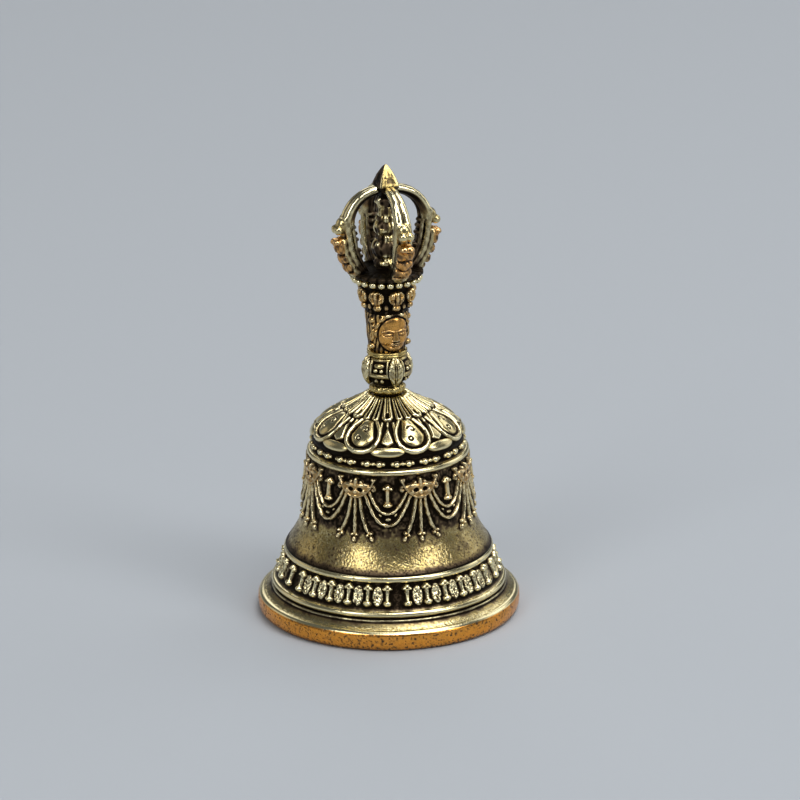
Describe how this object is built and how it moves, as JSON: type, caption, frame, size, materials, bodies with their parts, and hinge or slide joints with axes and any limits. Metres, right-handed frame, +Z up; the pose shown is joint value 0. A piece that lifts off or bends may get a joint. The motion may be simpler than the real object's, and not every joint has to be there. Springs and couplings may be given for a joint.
{
  "type": "vajra bell",
  "caption": "Small cast brass vajra bell with a caged vajra handle, a crowned head, relief ornament and a clapper that hangs free inside.",
  "frame": {"origin": "centre of the rim's resting plane", "axes": "+Z up along the bell's axis to the finial; the head and one prong face -Y"},
  "size_m": [0.038, 0.038, 0.0665],
  "materials": {
    "bell_brass": "antiqued, polished on the raised relief and dark in the recesses",
    "handle_brass": "antiqued, polished on the raised relief and dark in the recesses",
    "cage_brass": "antiqued, polished on the outer faces and dark between them",
    "inner_brass": "dull, turned, lightly tarnished"
  },
  "bodies": {
    "bell": {"bell_shell": "bell_brass", "foot_ring": "handle_brass", "vase_knob": "handle_brass", "neck_ring": "handle_brass", "head": "handle_brass", "leaf_crown": "handle_brass", "bead_collar": "handle_brass", "vajra_hub": "cage_brass", "prong_front": "cage_brass", "prong_right": "cage_brass", "prong_back": "cage_brass", "prong_left": "cage_brass", "central_spindle": "cage_brass", "finial_tip": "cage_brass", "tie_stud": "inner_brass", "crown_washer": "inner_brass", "hanger_nut": "inner_brass", "hanger_eye": "inner_brass"},
    "link": {"link_ring": "inner_brass"},
    "clapper": {"clapper_rod": "inner_brass", "striker_ball": "inner_brass"}
  },
  "joints": [
    {"name": "link_swing", "type": "hinge", "parent": "bell", "child": "link", "pos_m": [0, 0, 0.0237], "axis": [1, 0, 0], "range_deg": [-10, 10]},
    {"name": "clapper_swing", "type": "hinge", "parent": "link", "child": "clapper", "pos_m": [0, 0, 0.0214], "axis": [0, 1, 0], "range_deg": [-35, 35]}
  ]
}
